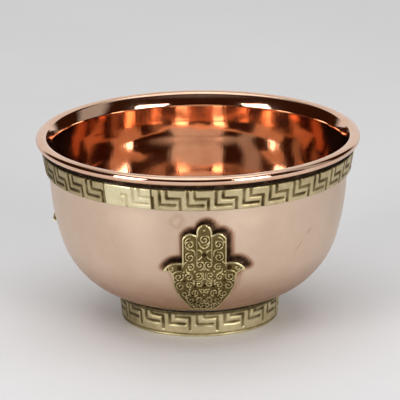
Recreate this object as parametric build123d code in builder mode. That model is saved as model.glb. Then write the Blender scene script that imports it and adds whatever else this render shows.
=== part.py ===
from build123d import *
import os
from math import cos, pi, radians, sin, sqrt, tan

# An offering bowl: a spun copper bowl with a rolled rim, a brass key-pattern band under the rim, a brass
# key-pattern foot ring and three brass hand emblems, all held by solder.
# Millimetres and degrees. Heights start at the table; azimuths start at the front (-Y) and grow towards +X.
os.makedirs("parts", exist_ok=True)

# Bowl
rim_diameter = 76.2  # over the rolled rim
height = 44.45  # table to the top of the rim
copper = 0.7  # sheet thickness
bead = 2.1  # thickness of the rolled rim
curl_angle = 268.0  # how far the edge is rolled round
curl_flats = 12  # flats in the section of the roll, each too fine to see
lip_lean = 23.0  # outward lean of the lip where the roll begins
lip_radius = 10.4  # flare of the lip
lean = 10.2  # outward lean of the wall behind the rim band
flare_radius = 8.0  # bend from the side to that lean
heel_radius = 20.3  # lower curve of the body
heel_angle = 73.0  # turn of the lower curve
side_angle = 15.0  # turn of the upper curve, whose radius follows from the height
floor_height = 5.66  # table to the underside of the floor

# Key-pattern strips
strip = 0.7  # thickness over the raised lines
key_pitch = 6.55  # length of one key along the strip
key_depth = 0.3  # depth of the grooves between the raised lines
groove = 0.7  # width of the grooves
hook_start = 0.11  # where a key's two grooves begin and end, as shares of its length
hook_end = 0.66
step_start = 0.36
step_end = 0.84
hook_level = 0.27  # and where they run along the strip, as shares of its height
step_level = 0.59
lap_length = 4.4  # plain overlap where the ends of a strip meet
seam = 0.15  # open line at the end of each lap
film = 0.1  # solder in a lap and behind the rim band

# Rim band
band_width = 5.3
band_gap = 0.05  # bare wall between the lip and the band
band_margin = 0.15  # straight wall below the band
band_first_key = 3.3  # azimuth of the first key
band_lap_azimuth = -35.0

# Foot ring
foot_diameter = 36.9  # over the lower edge
foot_lean = 6.0
foot_border = 1.75  # plain edge below the keys, whose tops run out over the upper edge
foot_gap = 0.08  # between the ring's upper inner edge and the bowl
foot_fillet = 1.4  # leg of the solder inside the ring
foot_first_key = -6.2  # azimuth of the first key
foot_lap_azimuth = 180.0

# Hand emblems, equally spaced, with heights above the wrist end
hand_places = ("front", "right", "left")
hand_below_band = 3.3  # band to fingertip
hand_above_foot = 3.0  # foot to wrist end
hand_span = 19.4  # across the thumbs
hand_thickness = 1.2
hand_gap = 0.15  # solder behind the middle of the emblem
middle_finger = 3.6  # width of the middle finger
fingertip_rise = 1.9  # round end of the middle finger
fingertip_bulge = 0.5
finger_drop = 2.7  # by how much the fingers beside it are shorter
finger_block = 10.2  # across the three fingers
finger_corner = 0.7  # fall of the outer fingers' round ends
finger_bulge = 0.85
finger_web = 1.2  # plain metal between the notch and the groove that parts two fingers
thumb_root = 13.9
thumb_tip = 11.85
thumb_bulge = 0.9  # crown of the thumb's upper edge
palm_top = 9.3  # where the thumb's lower edge meets the palm
palm_hollow = 0.95  # hollow of that edge
palm_width = 14.5
wrist_width = 5.6
wrist_taper = 30.0  # slope of the palm's sides at the wrist
carving_depth = 0.4
carving_width = 0.5  # grooves between the fingers and round the volutes
volute_offset = 3.3  # from the middle line
volute_turn = 300.0
finger_volute = 1.1  # radius
finger_volute_drop = 5.4  # below the fingertip
palm_volute = 1.5  # radius
palm_volute_height = 9.2
thumb_pocket = 1.4  # round pocket at the root of each thumb
thumb_pocket_height = 12.6
pad_width = 6.0  # solder pad behind the roots of the fingers
pad_length = 7.4
pad_clearance = 0.02  # between the pad and the copper


def outward(azimuth):
    """The level direction away from the axis."""
    return Vector(sin(radians(azimuth)), -cos(radians(azimuth)), 0)


def upright(azimuth):
    """The plane through the axis whose x points outwards and y upwards."""
    return Plane((0, 0, 0), x_dir=outward(azimuth), z_dir=outward(azimuth).cross(Vector(0, 0, 1)))


# Where the bowl's outer skin bends, from the rim down
bead_radius = bead / 2
curl_hollow = bead_radius - copper
wall_length = band_gap + band_width + band_margin
bead_centre_height = height - bead_radius
bead_centre_radius = rim_diameter / 2 - bead_radius
lip_top_radius = bead_centre_radius - curl_hollow * cos(radians(lip_lean))
lip_top_height = bead_centre_height + curl_hollow * sin(radians(lip_lean))
wall_top_radius = lip_top_radius - lip_radius * (cos(radians(lean)) - cos(radians(lip_lean)))
wall_top_height = lip_top_height - lip_radius * (sin(radians(lip_lean)) - sin(radians(lean)))
side_top_angle = heel_angle + side_angle
flare_angle = side_top_angle + lean - 90
flare_out = flare_radius * (sin(radians(side_top_angle)) - cos(radians(lean)))
flare_up = flare_radius * (sin(radians(lean)) - cos(radians(side_top_angle)))
side_top_radius = wall_top_radius - wall_length * sin(radians(lean)) - flare_out
side_top_height = wall_top_height - wall_length * cos(radians(lean)) - flare_up
heel_up = heel_radius * (1 - cos(radians(heel_angle)))
side_up = side_top_height - floor_height - heel_up
side_radius = side_up / (cos(radians(heel_angle)) - cos(radians(side_top_angle)))
side_out = side_radius * (sin(radians(side_top_angle)) - sin(radians(heel_angle)))
floor_radius = side_top_radius - side_out - heel_radius * sin(radians(heel_angle))


def underside(radius):
    """Height of the bowl's underside at a radius on its floor or heel."""
    past_floor = max(0.0, radius - floor_radius)
    return floor_height + heel_radius - sqrt(heel_radius**2 - past_floor**2)


def body_line(gap):
    """The outer outline from the axis to the top of the side, moved outwards by gap."""
    floor = Line((0, floor_height - gap), (floor_radius, floor_height - gap))
    heel = JernArc(floor @ 1, floor % 1, heel_radius + gap, heel_angle)
    return JernArc(heel @ 1, heel % 1, side_radius + gap, side_angle)


def sheet_line(gap):
    """The whole outline from the axis to the rolled edge, moved outwards by gap."""
    side = body_line(gap)
    flare = JernArc(side @ 1, side % 1, flare_radius - gap, -flare_angle)
    wall = PolarLine(flare @ 1, wall_length, direction=flare % 1)
    lip = JernArc(wall @ 1, wall % 1, lip_radius - gap, lean - lip_lean)
    reach = curl_hollow - gap
    roll = []
    for flat in range(1, curl_flats + 1):
        turn = radians(180 - lip_lean - curl_angle * flat / curl_flats)
        roll.append((bead_centre_radius + reach * cos(turn), bead_centre_height + reach * sin(turn)))
    return Polyline(lip @ 1, *roll)


with BuildPart() as bowl:
    with BuildSketch(Plane.XZ):
        with BuildLine():
            under = sheet_line(0)
            over = sheet_line(-copper)
            Line(under @ 1, over @ 1)
            Line((0, floor_height), (0, floor_height + copper))
        make_face()
    revolve(axis=Axis.Z)
bowl.part.label = "bowl"
export_step(bowl.part, "parts/bowl.step")


def strip_layer(azimuth, low, high, radius, slope, outer, inner):
    """Section of a strip between two depths below its face, which leans out from radius at low."""
    rise = (high - low) * slope
    with BuildSketch(upright(azimuth)) as section:
        with BuildLine():
            Polyline(
                (radius - inner, low),
                (radius - outer, low),
                (radius - outer + rise, high),
                (radius - inner + rise, high),
                close=True,
            )
        make_face()
    return section.sketch


def key_strip(low, high, radius, lean_angle, key_low, key_high, first_key, lap_azimuth):
    """A key-pattern strip bent to a ring with lapped ends, and the solder in its lap."""
    slope = tan(radians(lean_angle))
    thickness = strip / cos(radians(lean_angle))
    film_level = film / cos(radians(lean_angle))
    half = (thickness - film_level) / 2
    layer = (low, high, radius, slope)
    lap_turn = 360 * lap_length / (2 * pi * radius)
    seam_turn = 360 * seam / (2 * pi * radius)
    lap_start = lap_azimuth - lap_turn / 2

    middle = (key_low + key_high) / 2
    face_radius = radius + (middle - low) * slope
    key_height = (key_high - key_low) / cos(radians(lean_angle))
    key_count = round(2 * pi * face_radius / key_pitch)
    key_turn = 360 / key_count
    key_length = 2 * pi * face_radius / key_count

    def key_planes(share):
        """Planes just off the strip's face, one to a key, at a share of the key's length."""
        planes = []
        for key in range(key_count):
            out = outward(first_key + (key + share) * key_turn)
            normal = out * cos(radians(lean_angle)) - Vector(0, 0, sin(radians(lean_angle)))
            origin = out * face_radius + Vector(0, 0, middle) + normal * key_depth
            planes.append(Plane(origin, x_dir=Vector(0, 0, 1).cross(out), z_dir=normal))
        return planes

    with BuildPart() as ring:
        whole = strip_layer(lap_start + lap_turn, *layer, 0, thickness)
        revolve(whole, Axis.Z, revolution_arc=360 - lap_turn)
        # The stepped groove between one key and the next, open at both edges of the pattern
        with BuildSketch(*key_planes((step_start + step_end) / 2)):
            half_step = (step_end - step_start) / 2 * key_length
            level = step_level * key_height - key_height / 2
            with BuildLine() as step_path:
                Polyline(
                    (-half_step, key_height / 2 + groove),
                    (-half_step, level),
                    (half_step, level),
                    (half_step, -key_height / 2),
                )
            trace(step_path.line, line_width=groove)
        extrude(amount=-2 * key_depth, mode=Mode.SUBTRACT)
        # The hooked groove inside each key, open at the upper edge
        with BuildSketch(*key_planes((hook_start + hook_end) / 2)):
            half_hook = (hook_end - hook_start) / 2 * key_length
            level = hook_level * key_height - key_height / 2
            with BuildLine() as hook_path:
                Polyline((-half_hook, key_height / 2 + groove), (-half_hook, level), (half_hook, level))
            trace(hook_path.line, line_width=groove)
        extrude(amount=-2 * key_depth, mode=Mode.SUBTRACT)
        # The lap: one end thinned to lie outside, the other to lie inside
        outer_end = strip_layer(lap_start + seam_turn, *layer, 0, half)
        revolve(outer_end, Axis.Z, revolution_arc=lap_turn - seam_turn)
        inner_end = strip_layer(lap_start, *layer, half + film_level, thickness)
        revolve(inner_end, Axis.Z, revolution_arc=lap_turn - seam_turn)

    with BuildPart() as solder:
        between = strip_layer(lap_start + seam_turn, *layer, half, half + film_level)
        revolve(between, Axis.Z, revolution_arc=lap_turn - 2 * seam_turn)
    return ring.part, solder.part


# Rim band, on the straight leaning wall under the lip
band_top_height = wall_top_height - band_gap * cos(radians(lean))
band_low_height = band_top_height - band_width * cos(radians(lean))
band_low_wall = wall_top_radius - (band_gap + band_width) * sin(radians(lean))
band_low_radius = band_low_wall + (film + strip) / cos(radians(lean))
rim_band, rim_lap_solder = key_strip(
    band_low_height,
    band_top_height,
    band_low_radius,
    lean,
    band_low_height,
    band_top_height,
    band_first_key,
    band_lap_azimuth,
)
rim_band.label = "rim_band"
export_step(rim_band, "parts/rim_band.step")
rim_lap_solder.label = "rim_lap_solder"
export_step(rim_lap_solder, "parts/rim_lap_solder.step")

with BuildPart() as rim_band_solder:
    film_outer = strip / cos(radians(lean))
    film_inner = (strip + film) / cos(radians(lean))
    wall_slope = tan(radians(lean))
    behind = strip_layer(
        0, band_low_height, band_top_height, band_low_radius, wall_slope, film_outer, film_inner
    )
    revolve(behind, Axis.Z)
rim_band_solder.part.label = "rim_band_solder"
export_step(rim_band_solder.part, "parts/rim_band_solder.step")

# Foot ring, its upper inner edge just under the heel
foot_radius = foot_diameter / 2
foot_slope = tan(radians(foot_lean))
foot_inner_radius = foot_radius - strip / cos(radians(foot_lean))
foot_top_height = underside(foot_inner_radius + floor_height * foot_slope) - foot_gap
foot_key_top = foot_border + band_width * cos(radians(foot_lean))
foot_ring, foot_lap_solder = key_strip(
    0, foot_top_height, foot_radius, foot_lean, foot_border, foot_key_top, foot_first_key, foot_lap_azimuth
)
foot_ring.label = "foot_ring"
export_step(foot_ring, "parts/foot_ring.step")
foot_lap_solder.label = "foot_lap_solder"
export_step(foot_lap_solder, "parts/foot_lap_solder.step")

with BuildPart() as foot_ring_solder:
    ring_side = foot_inner_radius + foot_top_height * foot_slope
    bowl_side = ring_side - foot_fillet
    with BuildSketch(Plane.XZ):
        with BuildLine():
            Polyline(
                (ring_side - foot_fillet * foot_slope, foot_top_height - foot_fillet),
                (ring_side, foot_top_height),
                (ring_side, underside(ring_side) + copper / 2),
                (bowl_side, underside(bowl_side) + copper / 2),
                (bowl_side, underside(bowl_side)),
                close=True,
            )
        make_face()
    revolve(axis=Axis.Z)
    add(bowl.part, mode=Mode.SUBTRACT)
foot_ring_solder.part.label = "foot_ring_solder"
export_step(foot_ring_solder.part, "parts/foot_ring_solder.step")

# Hand emblems: bent to the bowl's upright curve but straight across, so that the thumbs stand clear
hand_low = foot_top_height + hand_above_foot
hand_height = band_low_height - hand_below_band - hand_low
finger_length = hand_height - finger_drop - finger_web - thumb_root
volutes = ((hand_height - finger_volute_drop, finger_volute), (palm_volute_height, palm_volute))
volute_start = 180 - volute_turn / 2


def skin_layer(inner, outer):
    """Section, at the front, of what lies between two distances outside the bowl's body."""
    with BuildSketch(upright(0)) as section:
        with BuildLine():
            near = body_line(inner)
            far = body_line(outer)
            Line(near @ 1, far @ 1)
            Line((0, floor_height - inner), (0, floor_height - outer))
        make_face()
    return section.sketch


def on_hand(across, up):
    """A point of the emblem's front view, from its middle line and its wrist end."""
    return (across, hand_low + up)


with BuildPart() as hand_carving:
    face = hand_gap + hand_thickness
    extrude(skin_layer(face - carving_depth, face + carving_depth), amount=hand_span / 2, both=True)
    with BuildSketch(Plane.XZ):
        for side in (-1, 1):
            with Locations(on_hand(side * middle_finger / 2, thumb_root + finger_length / 2)):
                Rectangle(carving_width, finger_length)
            with Locations(on_hand(side * (finger_block + thumb_pocket) / 2, thumb_pocket_height)):
                Circle(thumb_pocket / 2)
            for up, radius in volutes:
                with BuildLine() as scroll:
                    centre = on_hand(side * volute_offset, up)
                    CenterArc(centre, radius, 90 - side * volute_start, side * volute_turn)
                trace(scroll.line, line_width=carving_width)
    extrude(amount=rim_diameter / 2, mode=Mode.INTERSECT)

with BuildPart() as hand:
    extrude(skin_layer(hand_gap, hand_gap + hand_thickness), amount=hand_span / 2, both=True)
    with BuildSketch(Plane.XZ):
        with BuildLine():
            fingertip = on_hand(0, hand_height)
            fingertip_side = on_hand(middle_finger / 2, hand_height - fingertip_rise)
            finger_root = on_hand(middle_finger / 2, hand_height - finger_drop)
            finger_side = on_hand(finger_block / 2, hand_height - finger_drop - finger_corner)
            thumb_start = on_hand(finger_block / 2, thumb_root)
            thumb_end = on_hand(hand_span / 2, thumb_tip)
            palm_side = on_hand(palm_width / 2, palm_top)
            wrist_side = on_hand(wrist_width / 2, 0)
            SagittaArc(fingertip, fingertip_side, fingertip_bulge)
            Line(fingertip_side, finger_root)
            SagittaArc(finger_root, finger_side, finger_bulge)
            Line(finger_side, thumb_start)
            SagittaArc(thumb_start, thumb_end, thumb_bulge)
            SagittaArc(thumb_end, palm_side, -palm_hollow)
            taper = (-sin(radians(wrist_taper)), -cos(radians(wrist_taper)))
            Spline(palm_side, wrist_side, tangents=((0, -1), taper))
            Line(wrist_side, on_hand(0, 0))
            mirror(about=Plane.YZ)
        make_face()
    extrude(amount=rim_diameter / 2, mode=Mode.INTERSECT)
    add(hand_carving.part, mode=Mode.SUBTRACT)

with BuildPart() as body_core:
    with BuildSketch(Plane.XZ):
        with BuildLine():
            outline = body_line(pad_clearance)
            Polyline(outline @ 1, (0, (outline @ 1).Y), (0, floor_height - pad_clearance))
        make_face()
    revolve(axis=Axis.Z)

with BuildPart() as hand_pad:
    extrude(skin_layer(-pad_width / 4, hand_gap), amount=pad_width / 2, both=True)
    with BuildSketch(Plane.XZ):
        with Locations(on_hand(0, thumb_root)):
            Rectangle(pad_width, pad_length)
    extrude(amount=rim_diameter / 2, mode=Mode.INTERSECT)
    add(body_core.part, mode=Mode.SUBTRACT)

for number, place in enumerate(hand_places):
    azimuth = 360 * number / len(hand_places)
    with BuildPart() as hamsa:
        add(hand.part, rotation=(0, 0, azimuth))
    hamsa.part.label = f"hamsa_{place}"
    export_step(hamsa.part, f"parts/hamsa_{place}.step")
    with BuildPart() as hamsa_solder:
        add(hand_pad.part, rotation=(0, 0, azimuth))
    hamsa_solder.part.label = f"hamsa_{place}_solder"
    export_step(hamsa_solder.part, f"parts/hamsa_{place}_solder.step")
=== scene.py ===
import math

import bpy
import numpy as np
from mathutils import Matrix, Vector
from mathutils.kdtree import KDTree


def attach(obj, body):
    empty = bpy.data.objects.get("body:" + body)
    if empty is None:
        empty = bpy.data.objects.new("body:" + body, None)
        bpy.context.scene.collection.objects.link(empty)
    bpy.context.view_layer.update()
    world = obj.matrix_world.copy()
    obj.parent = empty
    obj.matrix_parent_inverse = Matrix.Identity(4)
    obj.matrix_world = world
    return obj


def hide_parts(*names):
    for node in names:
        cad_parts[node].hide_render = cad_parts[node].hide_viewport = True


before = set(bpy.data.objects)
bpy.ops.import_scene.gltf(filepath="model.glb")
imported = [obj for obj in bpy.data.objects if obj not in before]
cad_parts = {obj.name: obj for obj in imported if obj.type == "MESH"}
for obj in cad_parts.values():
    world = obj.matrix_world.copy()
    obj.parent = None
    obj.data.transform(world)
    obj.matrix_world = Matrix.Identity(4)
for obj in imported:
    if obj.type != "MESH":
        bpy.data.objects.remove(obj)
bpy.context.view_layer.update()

# The bowl: a disc of copper sheet, spun over a form on a lathe, its edge rolled outwards into a hollow
# bead. The bead and the inside, which swells under the lip, are buffed bright. The outside is left satin,
# and everything else is soldered to it. Its colour carries painted shade under the bead, in the hollow of
# the curl, over the foot and towards the heel.
mm = 0.001
sheet = 0.7
floor_height, floor_radius = 5.66, 13.0904
heel_radius, heel_turn = 20.3, math.radians(73)
side_radius, side_turn = 57.2466, math.radians(13.5148)
flare_radius, wall_lean = 40.0, math.radians(10.2)
wall_length = 3.4353
lip_radius, lip_lean = 10.4, math.radians(23)
curl_hollow, curl_turn = 0.35, math.radians(268)
hub_radius, floor_steps = 0.4, 8
heel_steps, side_steps, flare_steps, wall_steps, lip_steps, curl_steps = 44, 24, 14, 8, 8, 36
bowl_columns, bowl_corner = 288, 48
dent, dents_start, dents_fade, dents_end = 0.03, 14, 37, 43
dent_waves = ((1.0, (3, 0.21, 0)), (0.5, (7, -0.33, 1)), (0.25, (13, 0.4, 2)))
lip_ridge, ridge_power, ridge_start, ridge_height, ridge_end = 0.88, 1.2, 30.0, 41.7, 43.81
bead_swell, swell_steps = 0.5, 14
bead_shade_start, bead_shade_full = 40.7, 41.4
curl_shade, curl_shade_start, curl_shade_full = 0.5, 14, 4
foot_gap_shade_start, foot_gap_shade_full, foot_gap_shade_radius = 7.8, 6.6, 16
low_shade_depth, low_shade_start, low_shade_full = 0.36, 20, 8
soot_dulling = 0.25
scratches = (
    ((23.97, -24.2, 26.39), (25.44, -22.98, 27.67)),
    ((21.08, -25.66, 22.54), (23.25, -24.53, 25.05)),
)
scratch_dark, scratch_core, scratch_edge = 0.75, 0.04, 0.13
scratch_middle, scratch_half = 0.25, 0.55
stains = (((-6.16, -34.36, 33.2), 1.35),)
stain_dark, stain_core, stain_edge, stain_wander = 0.12, 0.1, 1.0, 1.8


def smooth_step(value, low, high):
    """0 up to low, 1 from high on, and a smooth way between them."""
    share = np.clip((value - low) / (high - low), 0, 1)
    return share * share * (3 - 2 * share)


def ripple(turn, up, waves, slant=0, shift=0):
    """A wave that goes round the axis so many times and slants with the height."""
    return np.sin(waves * turn + slant * up + shift)


def spun_section(gap):
    """The sheet's section from the floor's middle to the rolled edge, gap off its outer skin.

    Its points are radius + height * 1j.
    """
    level = 1j * (floor_height - gap)
    runs = [np.linspace(hub_radius, floor_radius, floor_steps) + level]
    heading = 1.0 + 0j

    def bend(radius, turn, steps):
        nonlocal heading
        swing = np.exp(1j * turn * np.arange(1, steps + 1) / steps)
        spoke = 1j * heading * radius
        runs.append(runs[-1][-1] + spoke - spoke * swing)
        heading *= swing[-1]

    bend(heel_radius + gap, heel_turn, heel_steps)
    bend(side_radius + gap, side_turn, side_steps)
    bend(gap - flare_radius, math.pi / 2 - wall_lean - heel_turn - side_turn, flare_steps)
    runs.append(runs[-1][-1] + heading * wall_length * np.arange(1, wall_steps + 1) / wall_steps)
    bend(gap - lip_radius, wall_lean - lip_lean, lip_steps)
    bend(gap - curl_hollow, -curl_turn, curl_steps)
    return np.concatenate(runs)


def around(azimuth, radius, height):
    """Points at an azimuth from the front (-Y) towards +X."""
    azimuth, radius, height = np.broadcast_arrays(azimuth, radius, height)
    return np.stack([radius * np.sin(azimuth), -radius * np.cos(azimuth), height], -1)


def ring_faces(rows, columns, closed):
    """Quads of a grid of rows that runs round the axis; closed joins its last row to its first."""
    row_numbers = np.arange(rows if closed else rows - 1)
    row, column = np.meshgrid(row_numbers, np.arange(columns), indexing="ij")
    below, beside = (row + 1) % rows * columns, (column + 1) % columns
    row = row * columns
    quads = np.stack([row + column, row + beside, below + beside, below + column], -1)
    return quads.reshape(-1, 4).tolist()


def metal_piece(name, points, faces, corner, *finishes):
    """A smooth mesh in millimetres, sharp only where it turns by more than corner degrees."""
    mesh = bpy.data.meshes.new(name)
    mesh.from_pydata((np.asarray(points).reshape(-1, 3) * mm).tolist(), [], faces)
    mesh.polygons.foreach_set("use_smooth", [True] * len(mesh.polygons))
    mesh.set_sharp_from_angle(angle=math.radians(corner))
    for finish in finishes:
        mesh.materials.append(finish)
    piece = bpy.data.objects.new(name, mesh)
    bpy.context.scene.collection.objects.link(piece)
    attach(piece, "root")
    return piece


def mark_points(piece, name, values):
    """Keeps a number for each point of a piece, for its finish to read."""
    layer = piece.data.attributes.new(name, "FLOAT", "POINT")
    layer.data.foreach_set("value", np.asarray(values, dtype=np.float32).ravel())


def node_bench(tree):
    """A function that adds a node to a tree, and one that joins two sockets."""

    def add(kind, values=(), **settings):
        node = tree.nodes.new(kind)
        for key, value in settings.items():
            setattr(node, key, value)
        for key, value in dict(values).items():
            node.inputs[key].default_value = value
        return node

    def join(source, node, socket):
        tree.links.new(source, node.inputs[socket])
        return node

    return add, join


def plain_finish(name, roughness, metallic=1.0):
    """A material with its shader, the two functions of its bench, and the place on the object."""
    material = bpy.data.materials.new(name)
    material.use_nodes = True
    shader = material.node_tree.nodes["Principled BSDF"]
    shader.inputs["Metallic"].default_value = metallic
    shader.inputs["Roughness"].default_value = roughness
    add, join = node_bench(material.node_tree)
    return material, shader, add, join, add("ShaderNodeTexCoord").outputs["Object"]


def colour_stops(ramp, *stops):
    """Sets a colour ramp to (place, colour) stops."""
    while len(ramp.color_ramp.elements) < len(stops):
        ramp.color_ramp.elements.new(1.0)
    for element, (place, colour) in zip(ramp.color_ramp.elements, stops):
        element.position = place
        element.color = (*colour, 1.0)
    return ramp


def scratch_mark(add, join, place, start, end):
    """How dark a scratch from start to end makes a place."""
    start, end = Vector(start) * mm, Vector(end) * mm
    offset = add("ShaderNodeVectorMath", {1: (start + end) / 2}, operation="SUBTRACT")
    join(place, offset, 0)
    along = add("ShaderNodeVectorMath", {1: end - start}, operation="PROJECT")
    join(offset.outputs[0], along, 0)
    beside = add("ShaderNodeVectorMath", operation="SUBTRACT")
    join(offset.outputs[0], beside, 0)
    join(along.outputs[0], beside, 1)
    half_length = scratch_half * (end - start).length / mm
    scratch = add("ShaderNodeMath", operation="MULTIPLY")
    fades = ((beside, scratch_core, scratch_edge), (along, scratch_middle, half_length))
    for socket, (part, near, far) in enumerate(fades):
        length = join(part.outputs[0], add("ShaderNodeVectorMath", operation="LENGTH"), 0)
        reach = {"From Min": near * mm, "From Max": far * mm, "To Min": scratch_dark, "To Max": 0.0}
        fade = join(length.outputs["Value"], add("ShaderNodeMapRange", reach), "Value")
        join(fade.outputs["Result"], scratch, socket)
    return scratch.outputs["Value"]


def ring_mark(add, join, place, patch, centre, radius):
    """How dark a ring-shaped stain makes a place; the colours of patch make its line wander."""
    wander = add("ShaderNodeVectorMath", {1: (stain_wander * mm,) * 3}, operation="MULTIPLY_ADD")
    join(patch, wander, 0)
    join(place, wander, 2)
    middle = (Vector(centre) + Vector((stain_wander / 2,) * 3)) * mm
    offset = add("ShaderNodeVectorMath", {1: middle}, operation="SUBTRACT")
    join(wander.outputs[0], offset, 0)
    length = join(offset.outputs[0], add("ShaderNodeVectorMath", operation="LENGTH"), 0)
    beyond = add("ShaderNodeMath", {1: radius * mm}, operation="SUBTRACT")
    join(length.outputs["Value"], beyond, 0)
    away = join(beyond.outputs["Value"], add("ShaderNodeMath", operation="ABSOLUTE"), 0)
    near, far = stain_core * mm, stain_edge * mm
    reach = {"From Min": near, "From Max": far, "To Min": stain_dark, "To Max": 0.0}
    return join(away.outputs["Value"], add("ShaderNodeMapRange", reach), "Value").outputs["Result"]


def copper_finish(name, smooth, rough, squeeze, light, dark, lines=(), rings=()):
    """Copper with the lathe's fine lines, clouds of colour and gloss, soot and painted shade, scratches and
    ring stains.
    """
    material, shader, add, join, place = plain_finish(name, (smooth + rough) / 2)
    cloud = add("ShaderNodeTexNoise", {"Scale": 90.0, "Detail": 5.0, "Roughness": 0.6})
    join(place, cloud, "Vector")
    tint = colour_stops(add("ShaderNodeValToRGB"), (0.35, dark), (0.68, light))
    join(cloud.outputs["Fac"], tint, "Fac")
    patch = add("ShaderNodeTexNoise", {"Scale": 380.0, "Detail": 4.0, "Roughness": 0.6})
    join(place, patch, "Vector")
    uneven = add("ShaderNodeMapRange", {"From Min": 0.3, "From Max": 0.7, "To Min": 0.85, "To Max": 1.12})
    join(patch.outputs["Fac"], uneven, "Value")
    # The point attribute read here darkens the copper with painted shade and with the halos round the
    # emblems.
    soot_and_shade = add("ShaderNodeMath", operation="MULTIPLY")
    join(add("ShaderNodeAttribute", attribute_name="soot_and_shade").outputs["Fac"], soot_and_shade, 0)
    join(uneven.outputs["Result"], soot_and_shade, 1)
    marks = [scratch_mark(add, join, place, start, end) for start, end in lines]
    for centre, radius in rings:
        marks.append(ring_mark(add, join, place, patch.outputs["Color"], centre, radius))
    dirt_and_shade = soot_and_shade.outputs["Value"]
    for mark in marks:
        most = join(dirt_and_shade, add("ShaderNodeMath", operation="MAXIMUM"), 0)
        dirt_and_shade = join(mark, most, 1).outputs["Value"]
    veil = colour_stops(
        add("ShaderNodeValToRGB"),
        (0.0, (1, 1, 1)),
        (0.4, (0.62, 0.46, 0.38)),
        (1.0, (0.05, 0.035, 0.025)),
    )
    join(dirt_and_shade, veil, "Fac")
    skin = add("ShaderNodeMix", {0: 1.0}, data_type="RGBA", blend_type="MULTIPLY")
    join(tint.outputs["Color"], skin, 6)
    join(veil.outputs["Color"], skin, 7)
    join(skin.outputs[2], shader, "Base Color")
    gloss = add(
        "ShaderNodeMapRange", {"From Min": 0.3, "From Max": 0.7, "To Min": smooth, "To Max": rough}
    )
    join(cloud.outputs["Fac"], gloss, "Value")
    dull = add("ShaderNodeMath", {1: soot_dulling}, operation="MULTIPLY_ADD")
    join(dirt_and_shade, dull, 0)
    join(gloss.outputs["Result"], dull, 2)
    join(dull.outputs["Value"], shader, "Roughness")
    turned = join(place, add("ShaderNodeMapping", {"Scale": squeeze}), "Vector")
    fine = add("ShaderNodeTexNoise", {"Scale": 1.0, "Detail": 4.0})
    join(turned.outputs["Vector"], fine, "Vector")
    bump = add("ShaderNodeBump", {"Strength": 0.06, "Distance": 0.2 * mm})
    join(fine.outputs["Fac"], bump, "Height")
    join(bump.outputs["Normal"], shader, "Normal")
    return material


satin = copper_finish(
    "satin_copper",
    smooth=0.27,
    rough=0.37,
    squeeze=(150, 150, 5000),
    light=(0.76, 0.585, 0.45),
    dark=(0.7, 0.52, 0.39),
    lines=scratches,
    rings=stains,
)
bright = copper_finish(
    "bright_copper",
    smooth=0.045,
    rough=0.1,
    squeeze=(900, 900, 150),
    light=(0.89, 0.61, 0.45),
    dark=(0.8, 0.49, 0.34),
)
inner, outer = spun_section(-sheet), spun_section(0)
section = np.concatenate([inner, outer[::-1]])
rows = len(section)
order = np.arange(rows)[:, None]
outside = order >= len(inner)
azimuth = np.arange(bowl_columns) * 2 * math.pi / bowl_columns
height, radius = section.imag[:, None], section.real[:, None]

wave = sum(share * ripple(azimuth, height, *course) for share, course in dent_waves)
wave = wave * smooth_step(height, floor_height, dents_start)
wave = wave * smooth_step(-height, -dents_end, -dents_fade)
curl_start = len(inner) - curl_steps
ridge_share = np.clip((height - ridge_start) / (ridge_height - ridge_start), 0, 1)
over_ridge = np.interp(height, [ridge_height, ridge_end], [lip_ridge, bead_swell])
ridge = np.where(height > ridge_height, over_ridge, lip_ridge * ridge_share**ridge_power)
on_bead = bead_swell * (1 - smooth_step(order, curl_start, curl_start + swell_steps))
ridge = np.where(order < curl_start, ridge, on_bead)
ridge = np.where(outside, 0, ridge)
places = around(azimuth, radius + dent * wave - ridge, height)

faces = [face[::-1] for face in ring_faces(rows, bowl_columns, closed=False)]
faces.append(list(range(bowl_columns)))
faces.append(list(range((rows - 1) * bowl_columns, rows * bowl_columns))[::-1])
bowl = metal_piece("spun_bowl", places, faces, bowl_corner, satin, bright)
bright_faces = (len(inner) + curl_steps) * bowl_columns
materials = np.arange(len(faces)) < bright_faces
materials[-2:] = True, False
bowl.data.polygons.foreach_set("material_index", materials.astype(int))

# Painted shade: the wall darker under the bead, in the shadow of its overhang.
under_bead = smooth_step(height, bead_shade_start, bead_shade_full)
# Painted shade in the hollow of the curl, on the underside of the bead.
in_curl = curl_shade * smooth_step(order, len(inner) - curl_shade_start, len(inner) - curl_shade_full)
# Painted shade over the foot, in the crevice between the heel and the ring.
at_foot = smooth_step(-height, -foot_gap_shade_start, -foot_gap_shade_full) * (radius > foot_gap_shade_radius)
# Painted shade: the body darker towards the heel, which faces the shaded table round the foot.
low_shade = low_shade_depth * smooth_step(-height, -low_shade_start, -low_shade_full)
soot_and_shade = np.where(outside, np.maximum(np.maximum(under_bead, at_foot), low_shade), in_curl)
soot_and_shade = np.broadcast_to(soot_and_shade, places.shape[:2]).copy()
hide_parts("bowl")

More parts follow.
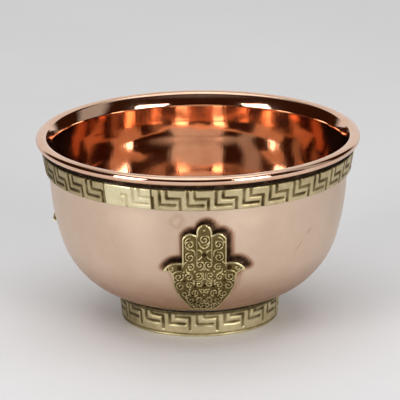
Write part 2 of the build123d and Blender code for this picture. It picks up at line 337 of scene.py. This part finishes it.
# The rim band: a strip of brass stamped with a Greek key, bent round the wall under the bead and soldered
# on. Its ends are thinned and lapped, and the lap is left plain. Beside it the keys are worn, and elsewhere
# dark polish stays in their grooves.
strip, film, groove, key_depth = 0.7, 0.1, 0.7, 0.3
step_run = ((0.36, 1.2), (0.36, 0.59), (0.84, 0.59), (0.84, -0.2))
hook_run = ((0.11, 1.2), (0.11, 0.27), (0.66, 0.27))
key_softness, key_columns, strip_rows, strip_corner = 0.2, 40, 32, 60
strip_waver, edge_drop, edge_width = 0.003, 0.16, 0.3
border_edge, border_step = 0.05, 0.3
score_place, score_depth, score_core, score_edge = 0.4, 0.5, 0.08, 0.22
polish_fill, polish_drift, polish_ripple, polish_most = 0.3, 0.22, 0.1, 0.5
key_height, lap_length, lap_blur, lap_shine, seam = 5.3, 4.4, 0.4, 0.35, 0.3
rub, rub_blur = 0.5, 0.3
side_shade_depth, side_shade_spread, side_shade_left, top_shade = 0.2, 1.5, 0.5, 0.9
brass_roughness, dull_brass, shiny_brass = 0.35, 0.6, 0.27
grime_weight, brass_range = 0.55, 1.5
band_low_height, band_low_wall, band_dark_top = 36.0494, 35.118, 0.21
band_keys, band_first_key, band_lap, band_worn = 35, math.radians(3.3), math.radians(-35), 7.4


def run_distance(along, up, run, length, width):
    """Distance in millimetres from a groove's middle line, whose corners are shares of a key."""
    nearest = np.full(np.broadcast(along, up).shape, np.inf)
    for (a, b), (c, d) in zip(run, run[1:]):
        beside = np.maximum(np.maximum(min(a, c) - along, along - max(a, c)), 0) * length
        above = np.maximum(np.maximum(min(b, d) - up, up - max(b, d)), 0) * width
        nearest = np.minimum(nearest, np.hypot(beside, above))
    return nearest


def half_turns(turn):
    """An angle brought between minus half a turn and half a turn."""
    return (turn + math.pi) % (2 * math.pi) - math.pi


def key_strip(
    name, finish, keys, first_key, lap, worn, low_radius, low_height, lean, border, width, dark_top
):
    """A key-pattern strip bent to a ring, plain below its keys for border. Its back is at low_radius."""
    columns = keys * key_columns
    turn = np.arange(columns) * 2 * math.pi / columns
    up = np.linspace(0, width, strip_rows)[:, None]

    length = 2 * math.pi * (low_radius + strip) / keys
    along = (turn - first_key) * keys / (2 * math.pi) % 1
    share = (up - border) / key_height
    from_groove = np.minimum(
        run_distance(along, share, step_run, length, key_height),
        run_distance(along, share, hook_run, length, key_height),
    )
    relief = smooth_step(from_groove, groove / 2 - key_softness, groove / 2 + key_softness)
    drift = ripple(turn, up, waves=11, shift=1) * ripple(turn, up, waves=7, slant=-0.9)
    filled = polish_fill + polish_drift * drift + polish_ripple * ripple(turn, up, waves=29, slant=2)
    relief = relief + (1 - relief) * np.clip(filled, 0, polish_most)
    relief = np.maximum(relief, smooth_step(-up, border_edge - border, border_step - border))
    scored = smooth_step(-np.abs(up - score_place * border), -score_edge, -score_core) * (border > 0)
    relief = relief * (1 - score_depth * scored)

    from_lap = half_turns(turn - lap) * low_radius
    half_lap = lap_length / 2
    worn_end = half_lap + worn
    plain = smooth_step(-np.abs(from_lap), -half_lap - lap_blur, -half_lap)
    rubbed = rub * smooth_step(from_lap, half_lap, half_lap + rub_blur)
    rubbed = rubbed * smooth_step(-from_lap, -worn_end, lap_blur - worn_end)
    relief = relief + (1 - relief) * np.maximum(plain, rubbed)
    seams = (-half_lap, worn_end) if worn else (half_lap,)
    from_seam = np.min([np.abs(from_lap - place) for place in seams], axis=0)
    relief = relief * (1 - smooth_step(-from_seam, -seam, 0))

    waver = ripple(turn, up, waves=9, slant=0.8) + ripple(turn, up, waves=23, slant=-1.3) - 2
    edge = edge_drop * (1 - smooth_step(np.minimum(up, width - up), 0, edge_width))
    out = film + strip - key_depth * (1 - relief) - edge + strip_waver * waver
    # Painted shade: the strip darker towards its sides, more on the left, but not on the lap or the worn
    # keys.
    side_shade = side_shade_depth * (1 - np.cos(side_shade_spread * half_turns(turn)))
    side_shade = side_shade * (1 - side_shade_left * np.sin(turn))
    shine = relief - side_shade + (lap_shine + side_shade) * np.maximum(plain, rubbed / rub)
    # Painted shade along the top edge, under the bead on the band and under the bowl's heel on the foot.
    shine = shine * (1 - top_shade * smooth_step(up, width - dark_top, width - dark_top / 2))

    back_up = np.array([[width], [0.0]]) + 0 * turn
    up = np.concatenate([up + 0 * turn, back_up])
    out = np.concatenate([out, film + 0 * back_up])
    radius = low_radius + up * math.sin(lean) + out * math.cos(lean)
    height = np.maximum(low_height + up * math.cos(lean) - out * math.sin(lean), 0)
    faces = ring_faces(strip_rows + len(back_up), columns, closed=True)
    piece = metal_piece(name, around(turn, radius, height), faces, strip_corner, finish)
    mark_points(piece, "relief", np.concatenate([shine, 0 * back_up]))
    return piece


def brass_finish(name, sunk, middle, raised, rubbed):
    """Old brass, rubbed bright where it stands up and dark with polish where it lies low."""
    material, shader, add, join, place = plain_finish(name, brass_roughness)
    # For the key strips this number also holds painted shade at their sides and along their top edge.
    relief = add("ShaderNodeAttribute", attribute_name="relief").outputs["Fac"]
    grime = add("ShaderNodeTexNoise", {"Scale": 650.0, "Detail": 5.0, "Roughness": 0.65})
    join(place, grime, "Vector")
    patch = join(place, add("ShaderNodeTexNoise", {"Scale": 170.0, "Detail": 2.0}), "Vector")
    mottle = add("ShaderNodeMath", operation="ADD")
    join(grime.outputs["Fac"], mottle, 0)
    join(patch.outputs["Fac"], mottle, 1)
    level = add("ShaderNodeMath", {1: grime_weight}, operation="MULTIPLY_ADD")
    join(mottle.outputs["Value"], level, 0)
    join(relief, level, 2)
    share = add("ShaderNodeMapRange", {"From Min": grime_weight, "From Max": grime_weight + brass_range})
    join(level.outputs["Value"], share, "Value")
    tint = colour_stops(
        add("ShaderNodeValToRGB"), (0.05, sunk), (0.36, middle), (0.66, raised), (0.92, rubbed)
    )
    join(share.outputs["Result"], tint, "Fac")
    join(tint.outputs["Color"], shader, "Base Color")
    gloss = add(
        "ShaderNodeMapRange",
        {"From Min": 0.1, "From Max": 0.9, "To Min": dull_brass, "To Max": shiny_brass},
    )
    join(share.outputs["Result"], gloss, "Value")
    join(gloss.outputs["Result"], shader, "Roughness")
    bump = add("ShaderNodeBump", {"Strength": 0.3, "Distance": 0.1 * mm})
    join(grime.outputs["Fac"], bump, "Height")
    join(bump.outputs["Normal"], shader, "Normal")
    return material


stamped = brass_finish(
    "stamped_brass",
    sunk=(0.07, 0.05, 0.02),
    middle=(0.27, 0.205, 0.095),
    raised=(0.62, 0.515, 0.3),
    rubbed=(0.86, 0.78, 0.5),
)
rim_band = key_strip(
    "key_band",
    stamped,
    keys=band_keys,
    first_key=band_first_key,
    lap=band_lap,
    worn=band_worn,
    low_radius=band_low_wall,
    low_height=band_low_height,
    lean=wall_lean,
    border=0.0,
    width=key_height,
    dark_top=band_dark_top,
)
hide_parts("rim_band")

# The foot: a second strip of the same stamped brass, with a plain edge below the keys, bent to a leaning
# ring and soldered under the heel of the bowl. The bowl stands on its lower edge.
foot_radius, foot_lean, foot_border, foot_height = 18.45, math.radians(6), 1.75, 6.2708
foot_keys, foot_first_key, foot_lap, foot_dark_top = 18, math.radians(-6.2), math.pi, 0.98
# A lighter copy of the stamped brass: painted light, against the shade that the foot stands in.
foot_brass_lightened = brass_finish(
    "stamped_brass_lightened",
    sunk=(0.11, 0.085, 0.04),
    middle=(0.34, 0.28, 0.14),
    raised=(0.78, 0.69, 0.42),
    rubbed=(0.92, 0.86, 0.58),
)
foot_ring = key_strip(
    "key_foot",
    foot_brass_lightened,
    keys=foot_keys,
    first_key=foot_first_key,
    lap=foot_lap,
    worn=0.0,
    low_radius=foot_radius - (strip + film) / math.cos(foot_lean),
    low_height=film * math.sin(foot_lean),
    lean=foot_lean,
    border=foot_border,
    width=foot_height / math.cos(foot_lean),
    dark_top=foot_dark_top,
)
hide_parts("foot_ring")

# The hand emblems: three brass castings with a raised edge, thin scrolls and small dots, bent to the bowl's
# upright curve but flat across, so that their thumbs stand clear of the copper. Each is soldered on at the
# roots of its fingers. Round it the copper has a dark halo, partly torch stain and partly painted shadow
# and reflection of the emblem, strongest above the fingers and thumbs.
emblem_low, emblem_height = 9.2708, 23.4786
emblem_gap, emblem_plate, emblem_relief = 0.15, 0.75, 0.45
half_finger, half_block, half_span, half_palm, half_wrist = 1.8, 5.1, 9.7, 7.25, 2.8
thumb_root, thumb_tip, palm_top = 13.9, 11.85, 9.3
fingertip_rise, finger_drop, finger_corner, wrist_taper = 1.9, 2.7, 0.7, math.radians(30)
fingertip_bulge, finger_bulge, thumb_bulge, palm_hollow = 0.5, 0.85, 0.9, 0.95
emblem_grid, outline_splits, emblem_corner = 0.12, 8, 70
scroll_points, stroke_points, palm_points, scroll_closing = 70, 40, 24, 0.8
edge_line, scroll_line, line_softness, scroll_relief = 0.36, 0.1, 0.1, 0.85
tip_dip, tip_core, tip_half, tip_low, tip_high = 0.7, 0.3, 0.7, 1.6, 0.9
palm_wear, palm_wear_start, palm_wear_full = 0.35, 10, 8
dot_radius, pit_core = 0.14, 0.55
cast_drop, cast_rounding = 0.14, 0.28
relief_shine, plate_shine = 0.65, 0.45
halo_inner, halo_outer, halo_shift, halo_margin = 0.35, 1.6, 0.55 + 0.35j, 4
halo_least, halo_low, halo_high = 0.25, 9, 13


def bowed(start, end, bulge, steps=14):
    """Points of a shallow arc from start, without its end, bulging to the left of its way by bulge."""
    share = np.linspace(0, 1, steps, endpoint=False)
    start, end = complex(*start), complex(*end)
    side = 1j * (end - start) / abs(end - start)
    return start + (end - start) * share + side * bulge * 4 * share * (1 - share)


def scroll(x, y, radius, start, turns):
    """A volute that winds inwards from an angle in degrees."""
    share = np.linspace(0, 1, scroll_points)
    angle = math.radians(start) + 2 * math.pi * turns * share
    return x + 1j * y + radius * (1 - scroll_closing * share) * np.exp(1j * angle)


def stroke(start, by, end):
    """A curved stroke drawn towards a point on its way."""
    share = np.linspace(0, 1, stroke_points)
    start, by, end = complex(*start), complex(*by), complex(*end)
    return start * (1 - share) ** 2 + 2 * by * share * (1 - share) + end * share**2


def palm_side():
    """Points of the palm's side, from straight down under the thumb to the taper of the wrist."""
    share = np.linspace(0, 1, palm_points)
    start, end = complex(half_palm, palm_top), complex(half_wrist, 0)
    pull = abs(end - start)
    leave, arrive = -1j * pull, -pull * complex(math.sin(wrist_taper), math.cos(wrist_taper))
    held = (1 + 2 * share) * (1 - share) ** 2
    bend = leave * share * (1 - share) ** 2 - arrive * share**2 * (1 - share)
    return start * held + end * (1 - held) + bend


top = emblem_height
finger_top = top - finger_drop - finger_corner
half_outline = np.concatenate([
    bowed((0, top), (half_finger, top - fingertip_rise), fingertip_bulge),
    bowed((half_finger, top - fingertip_rise), (half_finger, top - finger_drop), 0, steps=4),
    bowed((half_finger, top - finger_drop), (half_block, finger_top), finger_bulge),
    bowed((half_block, finger_top), (half_block, thumb_root), 0, steps=24),
    bowed((half_block, thumb_root), (half_span, thumb_tip), thumb_bulge),
    bowed((half_span, thumb_tip), (half_palm, palm_top), -palm_hollow),
    palm_side(),
])
outline = np.concatenate([half_outline, -half_outline[::-1].conj()])
outline_runs = list(zip(outline, np.roll(outline, -1)))
fine_outline = np.concatenate(
    [np.linspace(a, b, outline_splits, endpoint=False) for a, b in outline_runs]
)
half_scrolls = [
    stroke((1.72, 13.9), (1.72, 17.6), (1.72, 21.2)),
    stroke((1.5, 21.5), (1.2, 22.6), (0.75, 23.1)),
    scroll(3.3, 18.5, 1.25, -100, 1.4),
    stroke((4.5, 19.0), (4.3, 20.0), (3.3, 20.3)),
    scroll(3.35, 15.3, 1.25, 100, -1.4),
    stroke((2.2, 15.6), (1.9, 17.0), (3.0, 17.2)),
    stroke((1.3, 19.2), (1.0, 17.8), (0, 17.5)),
    stroke((1.5, 17.2), (0.4, 16.9), (0.5, 16.0)),
    stroke((0.5, 16.0), (0.5, 15.1), (1.5, 14.6)),
    scroll(1.05, 13.3, 1.0, 200, -1.25),
    stroke((0.1, 13.2), (0.1, 12.2), (1.0, 11.9)),
    scroll(3.2, 12.7, 1.0, 60, 1.25),
    stroke((4.1, 12.2), (4.4, 11.4), (3.4, 11.2)),
    stroke((4.2, 14.1), (4.9, 13.6), (5.2, 12.4)),
    stroke((5.2, 11.8), (6.6, 11.9), (7.4, 10.9)),
    scroll(7.6, 12.5, 0.8, 100, -1.2),
    scroll(5.9, 10.2, 1.1, 150, 1.3),
    scroll(3.55, 10.1, 1.0, 20, 1.25),
    scroll(1.35, 10.5, 1.0, -60, -1.25),
    stroke((0.3, 11.0), (0, 9.9), (0.6, 9.2)),
    scroll(5.5, 7.7, 1.05, 90, -1.3),
    scroll(3.4, 7.9, 0.95, 170, -1.25),
    scroll(1.25, 8.2, 0.95, 60, 1.25),
    stroke((2.2, 9.0), (2.6, 8.2), (2.2, 7.2)),
    scroll(4.45, 5.5, 1.0, 120, 1.25),
    scroll(2.3, 5.7, 0.95, -100, -1.25),
    scroll(0.6, 6.1, 0.75, 30, 1.1),
    stroke((3.3, 6.6), (3.5, 5.6), (3.2, 4.7)),
    scroll(3.1, 3.5, 0.95, 60, -1.25),
    scroll(1.0, 3.7, 0.95, 190, 1.25),
    scroll(2.2, 1.6, 0.85, 10, 1.2),
    scroll(0.6, 1.7, 0.75, 120, -1.1),
    stroke((3.0, 0.5), (1.4, 0.9), (0, 0.6)),
]
dots = (
    (0, 22.0), (2.25, 11.55), (4.75, 11.5), (2.45, 9.15), (0, 9.5), (0, 12.1), (6.6, 9.0), (0, 5.0),
    (1.75, 4.75), (3.35, 6.75), (4.15, 4.2), (1.65, 2.7), (0, 2.75), (3.35, 2.3), (8.8, 12.3),
)
half_scrolls += [scroll(x, y, dot_radius, 0, 1) for x, y in dots]
both_sides = [np.concatenate([line, -line.conj()]) for line in half_scrolls]
finger_scroll = scroll(0, 19.7, 1.35, -90, 1.6)
scrolls = np.concatenate(both_sides + [finger_scroll])
pits = (
    (5.75, 12.6, 0.75),
    (0, 15.9, 0.7),
    (2.1, 7.5, 0.5),
    (0, 7.7, 0.55),
    (2.6, 5.0, 0.4),
    (4.6, 9.1, 0.4),
)


def distance_to(line, spots):
    """Distance of each spot from the nearest point of a line, all as x + y * 1j."""
    tree = KDTree(len(line))
    for index, point in enumerate(line):
        tree.insert((point.real, point.imag, 0), index)
    tree.balance()
    distances = [tree.find((spot.real, spot.imag, 0))[2] for spot in spots.ravel()]
    return np.array(distances).reshape(spots.shape)


def skin_radius(height, gap):
    """Radius of the bowl's body, gap outside its skin, at a height."""
    heel_centre = floor_height + heel_radius
    side_centre = floor_radius + (heel_radius - side_radius) * math.sin(heel_turn)
    side_level = heel_centre - (heel_radius - side_radius) * math.cos(heel_turn)
    heel_square = (heel_radius + gap) ** 2 - (heel_centre - height) ** 2
    heel = floor_radius + np.sqrt(np.maximum(heel_square, 0))
    side = side_centre + np.sqrt((side_radius + gap) ** 2 - (height - side_level) ** 2)
    return np.where(height < heel_centre - (heel_radius + gap) * math.cos(heel_turn), heel, side)


across = np.arange(-half_span - 2 * emblem_grid, half_span + 2 * emblem_grid, emblem_grid)
upwards = np.arange(-2 * emblem_grid, top + 2 * emblem_grid, emblem_grid)
spots = across[None, :] + 1j * upwards[:, None]
within = np.zeros(spots.shape, bool)
for a, b in outline_runs:
    spans = (a.imag > spots.imag) != (b.imag > spots.imag)
    rise = b.imag - a.imag or 1.0
    within ^= spans & (spots.real < a.real + (b.real - a.real) * (spots.imag - a.imag) / rise)
reach = distance_to(fine_outline, spots) * np.where(within, -1, 1)
slope = np.gradient(reach, emblem_grid)
slope = slope[1] + 1j * slope[0]
slope /= np.maximum(np.abs(slope), 1e-6)
near = np.abs(reach) < emblem_grid / 2
spots = np.where(near, spots - reach * slope, spots)
reach = np.where(near, 0, reach)

from_scroll = distance_to(scrolls, spots)
line = scroll_relief * smooth_step(-from_scroll, -scroll_line - line_softness, -scroll_line)
rim = smooth_step(reach, -edge_line - line_softness, -edge_line)
tip = smooth_step(-np.abs(spots.real), -tip_half, -tip_core)
tip = tip * smooth_step(spots.imag, top - tip_low, top - tip_high)
rim = rim * (1 - tip_dip * tip)
rim = rim * (1 - palm_wear * smooth_step(-spots.imag, -palm_wear_start, -palm_wear_full))
sunken = np.zeros(rim.shape)
for x, y, size in pits:
    for side in (-x, x):
        from_pit = np.abs(spots - complex(side, y))
        sunken = np.maximum(sunken, smooth_step(-from_pit, -size, -pit_core * size))
relief = np.maximum(line, rim) * (1 - sunken)
rounding = cast_drop * (1 - smooth_step(-reach, 0, cast_rounding))

kept = reach <= 0
count = int(kept.sum())
index = np.full(spots.shape, -1)
index[kept] = np.arange(count)
corners = np.stack([index[:-1, :-1], index[:-1, 1:], index[1:, 1:], index[1:, :-1]], -1)
depths = np.stack([reach[:-1, :-1], reach[:-1, 1:], reach[1:, 1:], reach[1:, :-1]], -1)
fronts = []
for corner, deepest in zip(corners.reshape(-1, 4).tolist(), depths.reshape(-1, 4).min(1)):
    face = [number for number in corner if number >= 0]
    if len(face) >= 3 and deepest < 0:
        fronts.append(face)
edges = {(a, b) for face in fronts for a, b in zip(face, face[1:] + face[:1])}
walls = [[b, a, a + count, b + count] for a, b in sorted(edges) if (b, a) not in edges]
backs = [[number + count for number in face[::-1]] for face in fronts]
level = emblem_low + spots.imag[kept]
out = emblem_gap + emblem_plate + emblem_relief * relief[kept] - rounding[kept]
points = np.concatenate([
    np.stack([spots.real[kept], -skin_radius(level, out), level], -1),
    np.stack([spots.real[kept], -skin_radius(level, emblem_gap), level], -1),
])
cast = brass_finish(
    "cast_brass",
    sunk=(0.05, 0.03, 0.01),
    middle=(0.2, 0.145, 0.055),
    raised=(0.58, 0.48, 0.25),
    rubbed=(0.8, 0.72, 0.44),
)
shine = relief_shine * relief[kept] + plate_shine * (1 - sunken[kept])
shine = np.concatenate([shine, 0 * shine])
halo_heights = (height > emblem_low - halo_margin) & (height < emblem_low + top + halo_margin)
for number, where in enumerate(("front", "right", "left")):
    turn = number * 2 * math.pi / 3
    swing = np.identity(3)
    swing[:2, :2] = (math.cos(turn), math.sin(turn)), (-math.sin(turn), math.cos(turn))
    hand = metal_piece(f"hand_{where}", points @ swing, fronts + walls + backs, emblem_corner, cast)
    mark_points(hand, "relief", shine)
    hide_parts(f"hamsa_{where}")
    # The halo: partly torch stain, partly painted shadow and reflection of the emblem, shifted up and to the
    # right and stronger higher up.
    facing = places @ swing.T
    close = (np.abs(facing[..., 0]) < half_span + halo_margin) & (facing[..., 1] < 0)
    close = close & outside & halo_heights
    beside = facing[close][:, 0] + 1j * (facing[close][:, 2] - emblem_low)
    strength = halo_least + (1 - halo_least) * smooth_step(beside.imag, halo_low, halo_high)
    from_edge = distance_to(fine_outline + halo_shift, beside)
    halo = strength * smooth_step(-from_edge, -halo_outer, -halo_inner)
    soot_and_shade[close] = np.maximum(soot_and_shade[close], halo)
mark_points(bowl, "soot_and_shade", soot_and_shade)

# The solder: soft grey tin that ran into the joints and set. It shows only under the foot and in the seams
# of the laps, so its solids keep their shape and get a dull, grainy skin.
solder, shader, add, join, place = plain_finish("dull_solder", roughness=0.5)
grain = join(place, add("ShaderNodeTexNoise", {"Scale": 1200.0, "Detail": 5.0}), "Vector")
tint = colour_stops(add("ShaderNodeValToRGB"), (0.35, (0.32, 0.31, 0.29)), (0.7, (0.58, 0.57, 0.54)))
join(grain.outputs["Fac"], tint, "Fac")
join(tint.outputs["Color"], shader, "Base Color")
swell = add("ShaderNodeBump", {"Strength": 0.5, "Distance": 0.2 * mm})
join(grain.outputs["Fac"], swell, "Height")
join(swell.outputs["Normal"], shader, "Normal")
for name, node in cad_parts.items():
    if name.endswith("solder"):
        node.data.materials.clear()
        node.data.materials.append(solder)

# The table: a plain pale top with a dull polish, wide enough to fill the view from any side. It lies a hair
# below the foot's lower edge.
half_table, table_drop = 1.5, -0.04 * mm
table_corners = ((-1, -1), (1, -1), (1, 1), (-1, 1))
table_points = [(x * half_table, y * half_table, table_drop) for x, y in table_corners]
table_mesh = bpy.data.meshes.new("table_top")
table_mesh.from_pydata(table_points, [], [(0, 1, 2, 3)])
table = bpy.data.objects.new("table_top", table_mesh)
bpy.context.scene.collection.objects.link(table)
pale, shader, add, join, place = plain_finish("pale_table", roughness=0.6, metallic=0.0)
shader.inputs["Specular IOR Level"].default_value = 0.2
mottle = join(place, add("ShaderNodeTexNoise", {"Scale": 6.0, "Detail": 6.0}), "Vector")
tint = colour_stops(add("ShaderNodeValToRGB"), (0.3, (0.84, 0.84, 0.85)), (0.7, (0.9, 0.9, 0.91)))
join(mottle.outputs["Fac"], tint, "Fac")
join(tint.outputs["Color"], shader, "Base Color")
table_mesh.materials.append(pale)

# The light: two soft boxes at the front, left and right, and a broad one overhead. Round them is a dim, warm
# room with a pale ceiling, a pale screen behind the table and a pale wall on its right.
screen, wall, ceiling = (0.78,) * 3, (0.42,) * 3, (0.55,) * 3
dim = (0.034, 0.011, 0.004)
room_turns = (
    (-180, dim),
    (-46, dim),
    (-38, screen),
    (38, screen),
    (46, dim),
    (72, dim),
    (79, wall),
    (98, wall),
    (106, dim),
)


def soft_box(name, azimuth, elevation, distance, width, height, power):
    """An area light that faces the bowl's foot, at an azimuth and an elevation in degrees."""
    light = bpy.data.lights.new(name, "AREA")
    light.shape = "RECTANGLE"
    light.size, light.size_y, light.energy = width, height, power
    lamp = bpy.data.objects.new(name, light)
    turn, rise = math.radians(azimuth), math.radians(elevation)
    way = Vector((math.sin(turn) * math.cos(rise), -math.cos(turn) * math.cos(rise), math.sin(rise)))
    lamp.location = way * distance
    lamp.rotation_euler = way.to_track_quat("Z", "Y").to_euler()
    bpy.context.scene.collection.objects.link(lamp)


soft_box("left_box", azimuth=-51, elevation=17, distance=0.8, width=0.3, height=0.42, power=3.0)
soft_box("right_box", azimuth=36, elevation=17, distance=0.8, width=0.34, height=0.42, power=3.0)
soft_box("top_box", azimuth=0, elevation=88, distance=1.2, width=1.2, height=1.2, power=4.4)
room = bpy.data.worlds.new("room")
room.use_nodes = True
add, join = node_bench(room.node_tree)
way = join(add("ShaderNodeTexCoord").outputs["Generated"], add("ShaderNodeSeparateXYZ"), 0)
turn = add("ShaderNodeMath", operation="ARCTAN2")
join(way.outputs["X"], turn, 0)
join(way.outputs["Y"], turn, 1)
share = add("ShaderNodeMapRange", {"From Min": -math.pi, "From Max": math.pi})
join(turn.outputs["Value"], share, "Value")
room_stops = [(0.5 + degrees / 360, tone) for degrees, tone in room_turns]
around_room = colour_stops(add("ShaderNodeValToRGB"), *room_stops)
join(share.outputs["Result"], around_room, "Fac")
rise = add("ShaderNodeMapRange", {"From Min": 0.6, "From Max": 0.9}, interpolation_type="SMOOTHSTEP")
join(way.outputs["Z"], rise, "Value")
sky = add("ShaderNodeMix", {7: (*ceiling, 1.0)}, data_type="RGBA")
join(rise.outputs["Result"], sky, 0)
join(around_room.outputs["Color"], sky, 6)
join(sky.outputs[2], room.node_tree.nodes["Background"], "Color")
bpy.context.scene.world = room
bpy.context.scene.view_settings.view_transform = "Standard"

# The camera: a long lens a little above the rim, turned, tilted and rolled as in the photograph. Its values
# in pixels are for a picture as wide as the photograph.
eye_azimuth, eye_rise, eye_distance = math.radians(-1.9), math.radians(18.03), 1.2
image_side, focal_pixels, drop_pixels, roll = 400, 5052.7, 112.41, math.radians(0.69)
sensor_width, clip_end = 36.0, 20.0
level_way = (math.sin(eye_azimuth) * math.cos(eye_rise), -math.cos(eye_azimuth) * math.cos(eye_rise))
back = Vector((*level_way, math.sin(eye_rise)))
right = Vector((math.cos(eye_azimuth), math.sin(eye_azimuth), 0))
up = back.cross(right)
right, up = right * math.cos(roll) - up * math.sin(roll), right * math.sin(roll) + up * math.cos(roll)
place = back * eye_distance
tilt = math.atan(drop_pixels / focal_pixels)
back, up = back * math.cos(tilt) - up * math.sin(tilt), up * math.cos(tilt) + back * math.sin(tilt)
lens = bpy.data.cameras.new("eye")
lens.sensor_width = sensor_width
lens.lens = sensor_width * focal_pixels / image_side
lens.clip_end = clip_end
eye = bpy.data.objects.new("eye", lens)
turned = np.identity(4)
turned[:3, 0], turned[:3, 1], turned[:3, 2], turned[:3, 3] = right, up, back, place
eye.matrix_world = turned.T.tolist()
bpy.context.scene.collection.objects.link(eye)
bpy.context.scene.camera = eye
